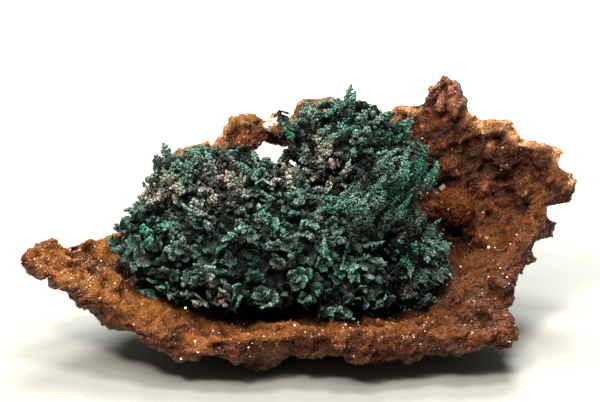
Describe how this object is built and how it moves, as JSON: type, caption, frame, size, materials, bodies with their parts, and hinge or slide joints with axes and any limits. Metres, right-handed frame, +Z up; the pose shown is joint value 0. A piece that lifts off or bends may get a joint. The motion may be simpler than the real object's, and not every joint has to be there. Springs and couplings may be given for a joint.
{
  "type": "native copper and dolomite specimen",
  "caption": "Tree-like native copper with a green patina, grown in a broken, bowl-shaped plate of iron-stained, crystal-lined dolomite that rests on a flat foot.",
  "frame": {"origin": "middle of the part's box in plan, at the height of the flat foot", "axes": "+X along the plate from the low lobe to the peaked wall, +Y from the low front rim to the high back wall, +Z up"},
  "size_m": [0.0808, 0.0466, 0.0357],
  "materials": {
    "dolomite": "iron-stained, sugary with small glossy rhombs, broken rim lighter tan",
    "copper": "native copper under a dull dark green patina, bright malachite spots, pinkish brown tips"
  },
  "bodies": {
    "root": {"dolomite_plate": "dolomite", "copper_mass": "copper", "copper_crest": "copper", "copper_plume": "copper", "copper_right_spray": "copper", "copper_left_spray": "copper", "copper_back_branch": "copper"}
  },
  "joints": []
}
